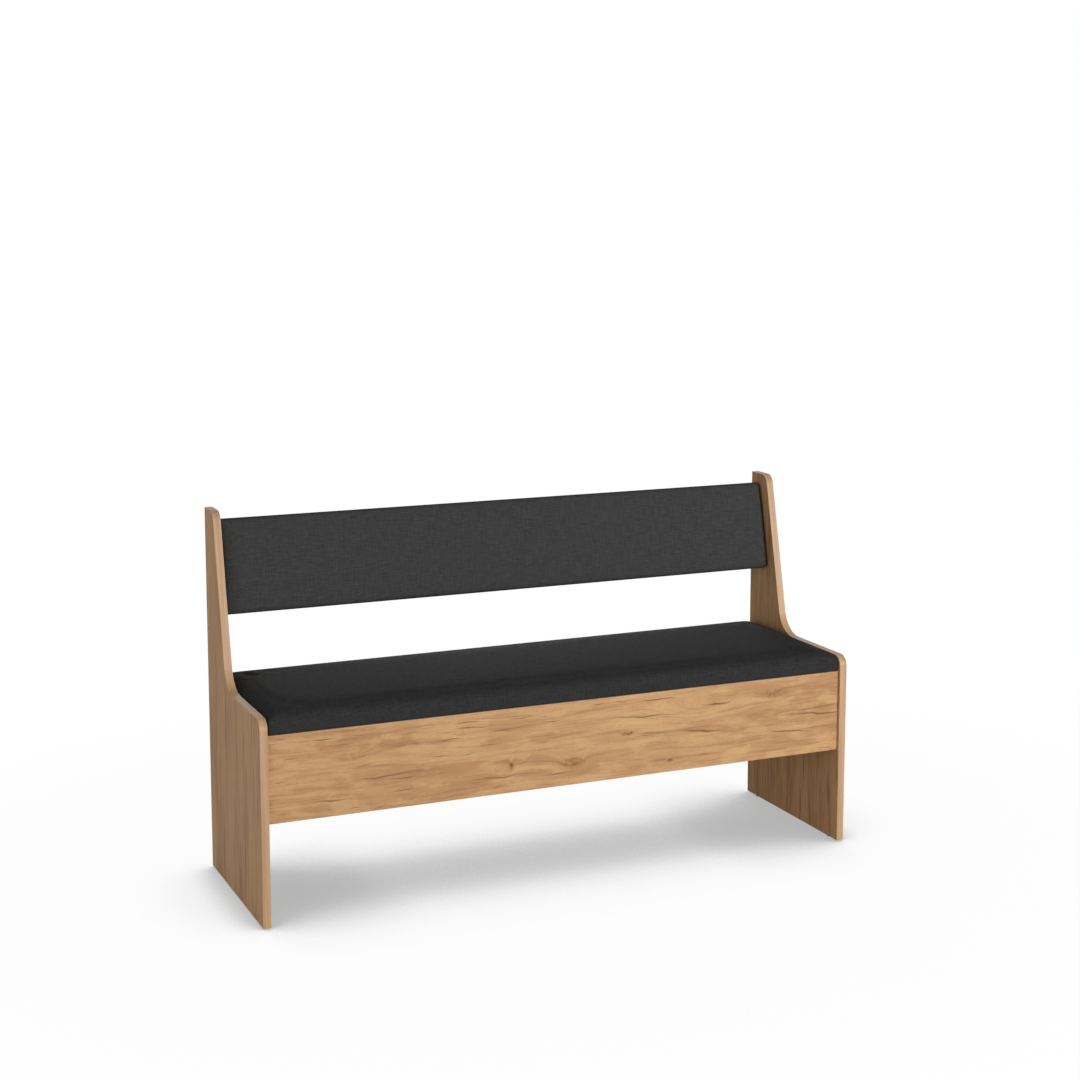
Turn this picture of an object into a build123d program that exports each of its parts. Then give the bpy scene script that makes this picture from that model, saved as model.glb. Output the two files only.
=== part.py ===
from build123d import *
import os
from math import atan2, cos, sin, tan

# Straight chest bench. Two cut-out side panels carry a padded backrest and a storage chest,
# and the padded seat is the chest's lid, hinged along the chest's rear panel.
# Millimetres: X runs along the bench, the front faces -Y, and the floor is at Z = 0.

# Overall size
overall_width = 1430.0
overall_depth = 430.0
overall_height = 840.0

# Laminated board and the banding glued on its edges
board = 18.0
edge_band = 1.0

# Side panels: the edge beside the seat, the arm above it and their rounded corners
seat_edge_height = 454.0
arm_foot_depth = 157.0
arm_top_depth = 70.0
front_corner_radius = 25.0
arm_hollow_radius = 68.0
arm_tip_radius = 25.0

# Nail-on glides under the side panels
glide_radius = 7.5
glide_height = 3.0
glide_inset = 45.0
nail_radius = 1.0
nail_length = 12.0

# Storage chest: the front apron, the rear panel, and the floor on its two battens
apron_recess = 7.0
apron_bottom = 226.0
apron_height = 191.0
rear_panel_inset = 64.0
floor_thickness = 12.0
floor_clearance = 0.5
batten_width = 20.0
batten_height = 20.0
batten_rise = 4.0
batten_end_gap = 40.0
batten_screw_length = 32.0
batten_screw_margin = 60.0
batten_screw_count = 5

# Cam fittings and dowels between the side panels and the chest's two long boards
cam_radius = 7.5
cam_depth = 12.5
cam_distance = 34.0
cam_edge_distance = 50.0
cam_wall = 3.1
cam_recess_length = 6.0
cam_recess_width = 1.2
cam_recess_depth = 2.0
bolt_thread_radius = 2.5
bolt_thread_length = 11.0
bolt_collar_radius = 3.5
bolt_collar_length = 4.0
bolt_neck_radius = 1.9
bolt_head_radius = 3.0
bolt_head_length = 4.0
bolt_play = 0.5
dowel_radius = 4.0
dowel_length = 30.0
dowel_panel_depth = 12.0
dowel_edge_distance = 22.0
drill_ease = 0.1

# Seat: an upholstered board that lies between the side panels and over the chest
seat_front_recess = 6.0
seat_rear_recess = 8.0
seat_end_gap = 1.5
seat_board = 16.0
seat_crown = 53.1
seat_crown_rise = 4.5
seat_roll = 20.0
seat_lean = 2.0
seat_corner = 6.0

# Backrest: an upholstered board that leans parallel to the arms' front edges
backrest_height = 216.0
backrest_centre_height = 716.0
backrest_setback = 22.0
backrest_end_gap = 1.5
backrest_board = 12.0
backrest_crown = 38.0
backrest_crown_rise = 3.0
backrest_roll = 13.0
backrest_lean = 1.0
backrest_corner = 8.0

# Upholstery: fabric, its turned-in return, the ease round the filling, and the lining's gap
fabric = 1.2
fabric_return = 26.0
fabric_ease = 0.2
lining_gap = 1.0
pad_top_margin = 0.5

# Thin rubber bumpers on the apron, which the seat's front edge lies on
bumper_height = 1.0
bumper_radius = 5.0
bumper_end_distance = 60.0
bumper_setback = 11.0

# Butt hinges: leaves, interleaved knuckles and pin
hinge_width = 60.0
hinge_end_distance = 175.0
leaf_thickness = 1.5
leaf_reach = 28.0
leaf_corner = 4.0
knuckle_radius = 3.5
knuckle_count = 3
knuckle_gap = 0.4
pin_radius = 1.9
pin_clearance = 0.05
pin_overhang = 1.0
leaf_screw_reach = 15.0
leaf_screw_stagger = 6.0
leaf_screw_pitch = 20.0
leaf_screw_length = 14.0
rear_panel_rest_gap = 0.3

# Angle brackets between the backrest's rear and the side panels
bracket_thickness = 2.0
bracket_width = 16.0
bracket_board_leg = 32.0
bracket_panel_leg = 20.0
bracket_bend = 3.0
bracket_offset = 45.0
bracket_board_holes = (14.0, 25.0)
bracket_panel_hole = 12.0
bracket_screw_length = 11.0

# Countersunk wood screws
screw_head_radius = 3.1
screw_shank_radius = 1.7
countersink = 45.0

# Flat sides that stand for the roundness of the small fittings and of their holes
screw_sides = 6
bolt_sides = 8
dowel_sides = 10
round_sides = 16

# Faces and heights that follow from the sizes above
half_width = overall_width / 2
inner_half = half_width - board
front_y = -overall_depth / 2
back_y = overall_depth / 2
apron_y = front_y + apron_recess
apron_top = apron_bottom + apron_height
rear_panel_y = back_y - rear_panel_inset - board
lid_bottom = apron_top + bumper_height
rear_panel_top = lid_bottom - rear_panel_rest_gap
batten_bottom = apron_bottom + batten_rise
floor_bottom = batten_bottom + batten_height
seat_length = 2 * (inner_half - seat_end_gap)
seat_depth = overall_depth - seat_front_recess - seat_rear_recess
seat_middle = (seat_front_recess - seat_rear_recess) / 2
hinge_offset = knuckle_radius + knuckle_gap
hinge_y = rear_panel_y + board + hinge_offset
hinge_z = lid_bottom - hinge_offset
hinge_places = [step * (inner_half - hinge_end_distance) for step in (-1, 0, 1)]

# The backrest's plane: its middle on the rear face, Y up the slope and Z out of the front
arm_slope = atan2(arm_foot_depth - arm_top_depth, overall_height - seat_edge_height)
arm_front = back_y - arm_foot_depth + (backrest_centre_height - seat_edge_height) * tan(arm_slope)
backrest_front = Vector(0, arm_front + backrest_setback, backrest_centre_height)
backrest_normal = Vector(0, -cos(arm_slope), sin(arm_slope))
backrest_plane = Plane(
    origin=backrest_front - backrest_normal * backrest_crown,
    x_dir=(1, 0, 0),
    z_dir=backrest_normal,
)


def block(x_range, y_range, z_range):
    """Box between two limits along each axis."""
    low, high = zip(x_range, y_range, z_range)
    size = [top - bottom for bottom, top in zip(low, high)]
    return Pos(*low) * Box(*size, align=(Align.MIN, Align.MIN, Align.MIN))


def rod(radius, length):
    """Cylinder that stands on the XY plane."""
    return Cylinder(radius, length, align=(Align.CENTER, Align.CENTER, Align.MIN))


def prism(radius, sides, low, high, taper=0.0):
    """Many-sided rod about Z between two heights, drawn in by taper degrees on its way down."""
    return Pos(0, 0, high) * extrude(RegularPolygon(radius, sides), low - high, taper=taper)


def screw(length, ease=0.0):
    """Countersunk screw that hangs from the XY plane; with ease, the hole that it needs."""
    head_depth = screw_head_radius - screw_shank_radius
    head = prism(screw_head_radius + ease, screw_sides, -head_depth, 0, countersink)
    return head + prism(screw_shank_radius + ease, screw_sides, -length - ease, 0)


def panel_outline():
    """Side view of a panel: upright front, seat edge, hollow, sloping arm and upright back."""
    corners = [
        (front_y, glide_height),
        (front_y, seat_edge_height),
        (back_y - arm_foot_depth, seat_edge_height),
        (back_y - arm_top_depth, overall_height),
        (back_y, overall_height),
        (back_y, glide_height),
    ]
    radii = (front_corner_radius, arm_hollow_radius, arm_tip_radius)
    outline = make_face(Polyline(*corners, close=True))
    for corner, radius in zip(corners[1:4], radii):
        outline = fillet(outline.vertices().sort_by_distance(corner)[0], radius)
    return outline


# Rails are the two long boards that the side panels hold: (front face, bottom, top, inside)
apron_rail = (apron_y, apron_bottom, apron_top, 1)
rear_rail = (rear_panel_y, apron_bottom, rear_panel_top, -1)


def rail_joints(rail, edge_distance):
    """Planes of a rail's joints: Z from the side panel into the rail, X out of its inside."""
    face, bottom, top, inside = rail
    return [
        Plane((side * inner_half, face + board / 2, height), x_dir=(0, inside, 0), z_dir=(-side, 0, 0))
        for side in (-1, 1)
        for height in (bottom + edge_distance, top - edge_distance)
    ]


cam_places = rail_joints(apron_rail, cam_edge_distance) + rail_joints(rear_rail, cam_edge_distance)
dowel_places = rail_joints(apron_rail, dowel_edge_distance) + rail_joints(rear_rail, dowel_edge_distance)
cam_floor = board / 2 - cam_depth


def cam_disc():
    """Cam in its rail: a roofed cup that grips the bolt's head behind a narrow slot."""
    cup = Plane.YZ * prism(cam_radius, round_sides, cam_floor, board / 2)
    roof = bolt_head_radius + bolt_play
    grip = bolt_neck_radius + bolt_play
    hold = bolt_head_length / 2 + bolt_play
    cup -= block((cam_floor, roof), (-roof, roof), (-hold, cam_radius))
    cup -= block((cam_floor, roof), (-grip, grip), (-cam_radius, 0))
    recess = (board / 2 - cam_recess_depth, board / 2)
    long_way = (-cam_recess_length / 2, cam_recess_length / 2)
    short_way = (-cam_recess_width / 2, cam_recess_width / 2)
    cup -= block(recess, long_way, short_way) + block(recess, short_way, long_way)
    return Pos(0, 0, cam_distance) * cup


def cam_bolt():
    """Bolt from its thread in the side panel to its head in the cam."""
    head_start = cam_distance - bolt_head_length / 2
    head_end = cam_distance + bolt_head_length / 2
    thread = prism(bolt_thread_radius, bolt_sides, -bolt_thread_length, 0)
    collar = prism(bolt_collar_radius, bolt_sides, 0, bolt_collar_length)
    neck = prism(bolt_neck_radius, bolt_sides, bolt_collar_length, head_start)
    return thread + collar + neck + prism(bolt_head_radius, bolt_sides, head_start, head_end)


def dowel(ease=0.0):
    """Wooden dowel, set partly in the side panel; with ease, the hole that it needs."""
    low = -dowel_panel_depth - ease
    return prism(dowel_radius + ease, dowel_sides, low, dowel_length - dowel_panel_depth + ease)


def joint_drilling():
    """Holes in the side panels and the rails for the cams, the bolts and the dowels."""
    pocket = Plane.YZ * prism(cam_radius + drill_ease, round_sides, cam_floor - drill_ease, board / 2)
    seat = Pos(0, 0, cam_distance) * pocket
    seat += prism(bolt_collar_radius + drill_ease, bolt_sides, 0, cam_distance)
    thread = prism(bolt_thread_radius + drill_ease, bolt_sides, -bolt_thread_length - drill_ease, 0)
    holes = [place * (seat + thread) for place in cam_places]
    return holes + [place * dowel(drill_ease) for place in dowel_places]


def glide():
    """Plastic glide with its nail: the pad meets the floor, the nail goes up into the panel."""
    nail = prism(nail_radius, screw_sides, glide_height, glide_height + nail_length)
    return prism(glide_radius, round_sides, 0, glide_height) + nail


glide_places = [
    Pos(side * (half_width - board / 2), y, 0)
    for side in (-1, 1)
    for y in (front_y + glide_inset, back_y - glide_inset)
]


def side_panel(side):
    """Board and wrap-round edge band of the left (-1) or right (1) panel, with their holes."""
    plane = Plane.YZ.offset(min(side * inner_half, side * half_width))
    outline = panel_outline()
    whole = extrude(plane * outline, board)
    core = extrude(plane * offset(outline, -edge_band, kind=Kind.INTERSECTION), board)
    nail_top = glide_height + nail_length + drill_ease
    nail_hole = prism(nail_radius + drill_ease, screw_sides, glide_height, nail_top)
    holes = [place * nail_hole for place in glide_places]
    return core - holes - joint_drilling(), whole - core - holes


def rail_board(rail):
    """Long board between the side panels, and the bands on its top and bottom edges."""
    face, bottom, top, _ = rail
    x_range = (-inner_half, inner_half)
    y_range = (face, face + board)
    core = block(x_range, y_range, (bottom + edge_band, top - edge_band)) - joint_drilling()
    bands = [block(x_range, y_range, (low, low + edge_band)) for low in (bottom, top - edge_band)]
    return core, bands


def pad_outline(half, crown, edge, roll, straight, lean, inset, crowned):
    """Section of a pad: straight sides that then lean in, rolled top corners, and the top."""
    left_foot = (-half, inset)
    left_hip = (-half, straight)
    left_top = (lean - half, edge)
    right_top = (half - lean, edge)
    sides = Polyline(right_top, (half, straight), (half, inset), left_foot, left_hip, left_top)
    if crowned:
        top = ThreePointArc(left_top, (0, crown), right_top)
    else:
        top = Line(left_top, right_top)
    section = make_face([sides, top])
    for corner in (left_top, right_top):
        section = fillet(section.vertices().sort_by_distance(corner)[0], roll)
    return section


def pad_body(length, width, crown, rise, roll, lean, corner, straight, inset=0.0):
    """Upholstered pad on the XY plane: a crowned section along X, rolled over at both ends
    and rounded at its corners, taken in by inset on every side."""
    half_length = length / 2 - inset
    half_depth = width / 2 - inset
    top = crown - inset
    roll_in = roll - inset
    cross = pad_outline(half_depth, top, top - rise, roll_in, straight, lean, inset, True)
    flat = top + pad_top_margin
    along = pad_outline(half_length, flat, flat, roll_in, straight, lean, inset, False)
    plan = RectangleRounded(2 * half_length, 2 * half_depth, corner - inset)
    body = extrude(Plane.YZ * cross, half_length, both=True)
    body &= extrude(Plane.XZ * along, half_depth, both=True)
    return body & extrude(plan, flat + inset)


def upholstery(length, width, crown, rise, roll, lean, corner, thickness):
    """Board, foam, fabric cover and lining of a pad that lies face up on the XY plane."""
    straight = fabric + thickness
    shape = (length, width, crown, rise, roll, lean, corner, straight)
    inset = fabric + fabric_ease
    board_outline = RectangleRounded(length - 2 * inset, width - 2 * inset, corner - inset)
    base = Pos(0, 0, fabric) * extrude(board_outline, thickness)
    above = block((-length / 2, length / 2), (-width / 2, width / 2), (straight, crown))
    foam = pad_body(*shape, inset) & above
    window = extrude(Rectangle(length - 2 * fabric_return, width - 2 * fabric_return), fabric)
    cover = pad_body(*shape) - pad_body(*shape, fabric) - window
    margin = 2 * (fabric_return + lining_gap)
    back = extrude(Rectangle(length - margin, width - margin), fabric)
    return base, foam, cover, back


def hinge_leaf(moving):
    """One leaf of a hinge on its axis: the fixed leaf hangs against the rear panel, and the
    moving leaf, its mirror image across the corner, lies under the seat."""
    pitch = hinge_width / knuckle_count
    y_range = (-hinge_offset, leaf_thickness - hinge_offset)
    plate = block((-hinge_width / 2, hinge_width / 2), y_range, (-leaf_reach, -hinge_offset))
    far_corners = plate.edges().filter_by(Axis.Y).group_by(Axis.Z)[0]
    leaf = fillet(far_corners, leaf_corner)
    for index in range(int(moving), knuckle_count, 2):
        start = index * pitch - hinge_width / 2 + knuckle_gap / 2
        end = start + pitch - knuckle_gap
        leaf += block((start, end), y_range, (-hinge_offset, 0))
        leaf += Plane.YZ.offset(start) * rod(knuckle_radius, end - start)
    leaf -= Plane.YZ.offset(-hinge_width / 2) * rod(pin_radius + pin_clearance, hinge_width)
    leaf -= [place * screw(leaf_screw_length, drill_ease) for place in leaf_screw_places]
    return mirror(leaf, hinge_mirror) if moving else leaf


def hinge_pin():
    """Pin through a hinge's knuckles, a little longer than they are."""
    length = hinge_width + 2 * pin_overhang
    return Plane.YZ.offset(-length / 2) * rod(pin_radius, length)


# Screws of the fixed leaf stand off its rear face; the mirror plane turns them to the lid's
hinge_mirror = Plane((0, 0, 0), z_dir=(0, 1, 1))
leaf_screw_places = [
    Plane(
        (step * leaf_screw_pitch, leaf_thickness - hinge_offset, -leaf_screw_reach - drop),
        x_dir=(1, 0, 0),
        z_dir=(0, 1, 0),
    )
    for step, drop in ((-1, leaf_screw_stagger), (0, 0), (1, leaf_screw_stagger))
]


def hinge_screws(moving, ease=0.0):
    """Screws of one leaf at every hinge, or with ease the holes that they need."""
    row = [place * screw(leaf_screw_length, ease) for place in leaf_screw_places]
    if moving:
        row = [mirror(one, hinge_mirror) for one in row]
    return [Pos(x, hinge_y, hinge_z) * one for x in hinge_places for one in row]


def bracket():
    """Right-hand angle bracket behind the backrest, in the backrest's plane."""
    legs = Polyline(
        (inner_half - bracket_board_leg, 0),
        (inner_half, 0),
        (inner_half, -bracket_panel_leg),
        (inner_half - bracket_thickness, -bracket_panel_leg),
        (inner_half - bracket_thickness, -bracket_thickness),
        (inner_half - bracket_board_leg, -bracket_thickness),
        close=True,
    )
    section = make_face(legs)
    outer = section.vertices().sort_by_distance((inner_half, 0))[0]
    section = fillet(outer, bracket_bend)
    inner = section.vertices().sort_by_distance((inner_half - bracket_thickness, -bracket_thickness))[0]
    section = fillet(inner, bracket_bend - bracket_thickness)
    angle = extrude(Plane.XZ * section, bracket_width / 2, both=True)
    return angle - [place * screw(bracket_screw_length, drill_ease) for place in bracket_screw_places()]


def bracket_screw_places():
    """Planes of the right-hand bracket's screw heads, each with Z out of the head."""
    board_side = [
        Plane((inner_half - distance, 0, -bracket_thickness), x_dir=(1, 0, 0), z_dir=(0, 0, -1))
        for distance in bracket_board_holes
    ]
    panel_head = (inner_half - bracket_thickness, 0, -bracket_panel_hole)
    return board_side + [Plane(panel_head, x_dir=(0, 1, 0), z_dir=(-1, 0, 0))]


def at_brackets(shape):
    """Copies of a right-hand bracket piece at the backrest's four brackets."""
    pair = [Pos(0, step * bracket_offset, 0) * shape for step in (-1, 1)]
    pair += [mirror(one, Plane.YZ) for one in pair]
    return [backrest_plane * one for one in pair]


def bracket_screws(ease=0.0):
    """Screws of all four brackets, or with ease the holes that they need."""
    one_set = [place * screw(bracket_screw_length, ease) for place in bracket_screw_places()]
    return [copy for one in one_set for copy in at_brackets(one)]


def batten_screws(ease=0.0):
    """Screws through both battens into the apron and the rear panel, or their holes."""
    run = inner_half - batten_end_gap - batten_screw_margin
    step = 2 * run / (batten_screw_count - 1)
    height = batten_bottom + batten_height / 2
    heads = ((apron_y + board + batten_width, 1), (rear_panel_y - batten_width, -1))
    return [
        Plane((index * step - run, y, height), x_dir=(1, 0, 0), z_dir=(0, outward, 0))
        * screw(batten_screw_length, ease)
        for y, outward in heads
        for index in range(batten_screw_count)
    ]


# Carcass
left_panel, left_band = side_panel(-1)
right_panel, right_band = side_panel(1)
bracket_holes = bracket_screws(drill_ease)
batten_holes = batten_screws(drill_ease)
apron, apron_bands = rail_board(apron_rail)
rear_panel, rear_bands = rail_board(rear_rail)
batten_x = (batten_end_gap - inner_half, inner_half - batten_end_gap)
batten_z = (batten_bottom, floor_bottom)
front_batten = block(batten_x, (apron_y + board, apron_y + board + batten_width), batten_z)
rear_batten = block(batten_x, (rear_panel_y - batten_width, rear_panel_y), batten_z)
storage_floor = block(
    (floor_clearance - inner_half, inner_half - floor_clearance),
    (apron_y + board + floor_clearance, rear_panel_y - floor_clearance),
    (floor_bottom, floor_bottom + floor_thickness),
)
bumper_run = inner_half - bumper_end_distance
bumper_places = [Pos(bumper_run * step / 3, apron_y + bumper_setback, apron_top) for step in (-3, -1, 1, 3)]

# Upholstered backrest in its sloping plane
backrest_layers = upholstery(
    2 * (inner_half - backrest_end_gap),
    backrest_height,
    backrest_crown,
    backrest_crown_rise,
    backrest_roll,
    backrest_lean,
    backrest_corner,
    backrest_board,
)
back_base, back_foam, back_cover, back_lining = [backrest_plane * layer for layer in backrest_layers]

# Upholstered seat over the chest
seat_layers = upholstery(
    seat_length,
    seat_depth,
    seat_crown,
    seat_crown_rise,
    seat_roll,
    seat_lean,
    seat_corner,
    seat_board,
)
seat_place = Pos(0, seat_middle, lid_bottom)
seat_base, seat_foam, seat_cover, seat_lining = [seat_place * layer for layer in seat_layers]
lid_holes = hinge_screws(True, drill_ease)

nodes = {
    "left_side_panel": left_panel - bracket_holes,
    "right_side_panel": right_panel - bracket_holes,
    "left_edge_band": left_band,
    "right_edge_band": right_band,
    "floor_glides": [place * glide() for place in glide_places],
    "front_apron": apron - batten_holes,
    "apron_edge_bands": apron_bands,
    "rear_panel": rear_panel - batten_holes - hinge_screws(False, drill_ease),
    "rear_panel_edge_bands": rear_bands,
    "front_floor_batten": front_batten - batten_holes,
    "rear_floor_batten": rear_batten - batten_holes,
    "batten_screws": batten_screws(),
    "storage_floor": storage_floor,
    "cam_discs": [place * cam_disc() for place in cam_places],
    "cam_bolts": [place * cam_bolt() for place in cam_places],
    "wood_dowels": [place * dowel() for place in dowel_places],
    "lid_bumpers": [place * prism(bumper_radius, round_sides, 0, bumper_height) for place in bumper_places],
    "backrest_board": back_base - bracket_holes,
    "backrest_foam": back_foam,
    "backrest_cover": back_cover - bracket_holes,
    "backrest_lining": back_lining,
    "backrest_brackets": at_brackets(bracket()),
    "bracket_screws": bracket_screws(),
    "seat_board": seat_base - lid_holes,
    "seat_foam": seat_foam,
    "seat_cover": seat_cover,
    "seat_lining": seat_lining - lid_holes,
    "hinge_fixed_leaves": [Pos(x, hinge_y, hinge_z) * hinge_leaf(False) for x in hinge_places],
    "hinge_lid_leaves": [Pos(x, hinge_y, hinge_z) * hinge_leaf(True) for x in hinge_places],
    "hinge_pins": [Pos(x, hinge_y, hinge_z) * hinge_pin() for x in hinge_places],
    "hinge_fixed_screws": hinge_screws(False),
    "hinge_lid_screws": hinge_screws(True),
}

os.makedirs("parts", exist_ok=True)
for name, shape in nodes.items():
    solid = Compound([piece.solid() for piece in shape]) if isinstance(shape, list) else shape
    export_step(solid, f"parts/{name}.step")
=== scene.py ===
from math import atan2, cos, pi, radians, sin, tan
import bmesh
import bpy
import numpy as np
from mathutils import Matrix, Vector


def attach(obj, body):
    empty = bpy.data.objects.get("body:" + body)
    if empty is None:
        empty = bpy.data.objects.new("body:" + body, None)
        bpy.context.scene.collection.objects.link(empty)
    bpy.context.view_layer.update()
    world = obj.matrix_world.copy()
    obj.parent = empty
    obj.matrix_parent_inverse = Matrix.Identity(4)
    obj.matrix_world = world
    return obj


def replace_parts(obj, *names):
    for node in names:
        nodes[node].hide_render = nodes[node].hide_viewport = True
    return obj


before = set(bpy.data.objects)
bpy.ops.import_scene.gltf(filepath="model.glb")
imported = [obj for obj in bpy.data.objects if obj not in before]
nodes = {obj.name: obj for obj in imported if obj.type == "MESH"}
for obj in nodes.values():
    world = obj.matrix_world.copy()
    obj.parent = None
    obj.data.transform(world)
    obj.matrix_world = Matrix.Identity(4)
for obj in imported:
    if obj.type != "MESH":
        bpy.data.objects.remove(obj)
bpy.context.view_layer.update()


# Side panels. Two upright boards of laminated chipboard carry everything else. Their printed oak
# paper has its grain running up the board, in broad warm bands with fine lines and a few cracks.


class Field:
    """A value over a surface, held in one socket of a material's nodes. Arithmetic on it adds Math
    nodes, and node() adds a node of any other kind."""

    def __init__(self, socket):
        self.socket = socket

    def node(self, kind, settings=None, sockets=None, output=0):
        """Adds a node, sets its settings, fills its sockets with numbers or fields, gives an output."""
        tree = self.socket.id_data
        made = tree.nodes.new(kind)
        for key, value in (settings or {}).items():
            setattr(made, key, value)
        for key, value in (sockets or {}).items():
            if isinstance(value, Field):
                tree.links.new(value.socket, made.inputs[key])
            else:
                made.inputs[key].default_value = value
        return Field(made.outputs[output])

    def out(self, output):
        """Another output of the node that this field comes from."""
        return Field(self.socket.node.outputs[output])

    def math(self, operation, *values):
        return self.node("ShaderNodeMath", {"operation": operation}, dict(enumerate(values)))

    def __add__(self, other):
        return self.math("ADD", self, other)

    def __sub__(self, other):
        return self.math("SUBTRACT", self, other)

    def __mul__(self, other):
        return self.math("MULTIPLY", self, other)

    def __truediv__(self, other):
        return self.math("DIVIDE", self, other)

    def __radd__(self, other):
        return self.math("ADD", other, self)

    def __rsub__(self, other):
        return self.math("SUBTRACT", other, self)

    def __rmul__(self, other):
        return self.math("MULTIPLY", other, self)


def new_finish(name, **constants):
    """New material whose shader gets these constants, and the coordinates its patterns start from."""
    material = bpy.data.materials.new(name)
    material.use_nodes = True
    shader = material.node_tree.nodes["Principled BSDF"]
    for socket, value in constants.items():
        shader.inputs[socket.replace("_", " ")].default_value = value
    start = material.node_tree.nodes.new("ShaderNodeTexCoord")
    return material, Field(start.outputs["Object"])


def paint(material, colour=None, roughness=None, height=None, depth=0.001):
    """Links a material's colour, roughness and the height of its relief, which is depth metres deep."""
    links = material.node_tree.links
    shader = material.node_tree.nodes["Principled BSDF"]
    if colour:
        links.new(colour.socket, shader.inputs["Base Color"])
    if roughness:
        links.new(roughness.socket, shader.inputs["Roughness"])
    if height:
        relief = height.node("ShaderNodeBump", None, {"Strength": 1.0, "Distance": depth, "Height": height})
        links.new(relief.socket, shader.inputs["Normal"])


def tint(mask, plain, marked):
    """Colour that goes from plain to marked as the mask goes from 0 to 1."""
    return mask.node("ShaderNodeMix", {"data_type": "RGBA"}, {0: mask, 6: plain, 7: marked}, 2)


def fade(value, low, high):
    """0 where a value is below low and 1 above high, with a smooth step between; high may be the lower."""
    settings = {"interpolation_type": "SMOOTHSTEP"}
    return value.node("ShaderNodeMapRange", settings, {"Value": value, "From Min": low, "From Max": high})


def streaks(along, across, length, width, layer, detail=2.0):
    """Noise whose spots are about this long along one direction and this wide across it."""
    place = along.node("ShaderNodeCombineXYZ", None, {0: along / length, 1: across / width, 2: layer})
    return along.node("ShaderNodeTexNoise", None, {"Vector": place, "Scale": 1.0, "Detail": detail}, "Fac")


def speckle(place, scale, detail):
    """Noise whose spots are as long as they are wide, about scale of them to the metre."""
    return place.node("ShaderNodeTexNoise", None, {"Vector": place, "Scale": scale, "Detail": detail}, "Fac")


def bell(value):
    """e to the power of minus a value."""
    return value.math("EXPONENT", 0.0 - value)


oak_straw = (0.628, 0.372, 0.184, 1)
oak_tan = (0.480, 0.256, 0.124, 1)
oak_honey = (0.660, 0.410, 0.196, 1)
oak_line = (0.245, 0.110, 0.046, 1)
oak_knot = (0.180, 0.074, 0.028, 1)
oak_dark = (0.085, 0.034, 0.013, 1)


def spot(g, c, mark):
    """1 at the middle of a mark, falling off as a bell over its half length and half width. A mark is
    its place along and across the grain, those two halves, its slope across the grain, and a tone."""
    mark_g, mark_c, length, width, slope, _ = mark
    along = g - mark_g
    across = (c - mark_c - along * slope) / width
    along = along / length
    return bell(along * along + across * across)


def oak(name, along, across, through, pith, taper, layer, bands, pale, knots=(), cracks=()):
    """Printed oak: the rings of a log, read on a board's face. A point's ring is its distance from
    the pith, a line at (place, depth) that comes nearer to the face by taper along the grain. Bands
    is how dark some rings get, and pale the length and width of honey-coloured clouds. Each knot
    bends the rings round it. Cracks are thin dark marks, and some more are strewn by noise."""
    material, place = new_finish(name, Specular_IOR_Level=0.06)
    axes = place.node("ShaderNodeSeparateXYZ", None, {0: place})
    g, c, sheet = axes.out(along), axes.out(across), axes.out(through) * 40.0 + layer
    bent = c + (streaks(g, c, 0.30, 0.060, sheet) - 0.5) * 0.026
    bent = bent + (streaks(g, c, 0.060, 0.020, sheet + 1.0) - 0.5) * 0.0060
    core = g * 0.0
    for knot in knots:
        near = spot(g, c, knot)
        bent = bent + near * (knot[3] * 1.15)
        core = core + fade(near, 0.30, 1.0) * knot[5]
    depth = pith[1] + g * taper
    offset = bent - pith[0]
    square = offset * offset + depth * depth
    ring = square.math("SQRT", square)
    cloud = streaks(g, ring, 0.42, 0.050, sheet + 3.0, 3.0)
    band = streaks(g, ring, 0.16, 0.0110, sheet + 5.0, 3.0)
    line = streaks(g, ring, 0.090, 0.0034, sheet + 7.0, 3.0)
    fine = streaks(g, ring, 0.045, 0.0011, sheet + 9.0, 2.0)
    pores = fade(streaks(g, ring, 0.010, 0.0006, sheet + 11.0, 1.0), 0.58, 0.78)
    rays = fade(streaks(c, g, 0.012, 0.0030, sheet + 15.0, 2.0), 0.52, 0.75)
    wave = c + (streaks(g, c, 0.050, 0.030, sheet + 23.0, 3.0) - 0.5) * 0.012
    split = g * 0.0
    for crack in cracks:
        split = split + spot(g, wave, crack) * crack[5]
    split = split + fade(streaks(g, wave, 0.110, 0.0034, sheet + 13.0, 1.0), 0.69, 0.80) * 0.8
    split = split * (0.55 + fine * 0.9)
    mottle = streaks(g, bent, *pale, sheet + 17.0, 3.0)
    freckle = speckle(place, 115.0, 3.0)
    colour = tint(fade(cloud * 0.6 + band * 0.4, 0.36, 0.64), oak_straw, oak_tan)
    colour = tint(fade(mottle, 0.46, 0.66) * 0.65, colour, oak_honey)
    colour = tint(fade(line * 0.65 + fine * 0.35, 0.47, 0.72) * 0.38, colour, oak_line)
    colour = tint(fade(band * 0.7 + line * 0.3, 0.54, 0.74) * bands, colour, oak_line)
    colour = tint(rays * 0.10, colour, oak_line)
    colour = tint(pores * 0.34, colour, oak_line)
    colour = tint(core * (0.42 + fade(freckle, 0.40, 0.62) * 0.65 + rays * 0.2), colour, oak_knot)
    colour = tint(split.math("MINIMUM", split, 0.74), colour, oak_dark)
    rough = 0.46 + fine * 0.10 + pores * 0.08
    paint(material, colour, rough, 0.0 - pores * 0.5 - split, 0.0003)
    return material


def dress(material, *names):
    """Puts a material on CAD nodes."""
    for name in names:
        nodes[name].material_slots[0].material = material


panel_oak = oak("oak_upright", "Z", "Y", "X", (0.42, 0.050), 0.04, 2.0, bands=0.90, pale=(0.40, 0.014))
dress(panel_oak, "left_side_panel", "right_side_panel")


# Edge bands of the side panels. A light plastic strip, 1 mm thick and as wide as the board, is
# glued round each panel, and its two long corners are rounded over so that they feel soft.

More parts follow.
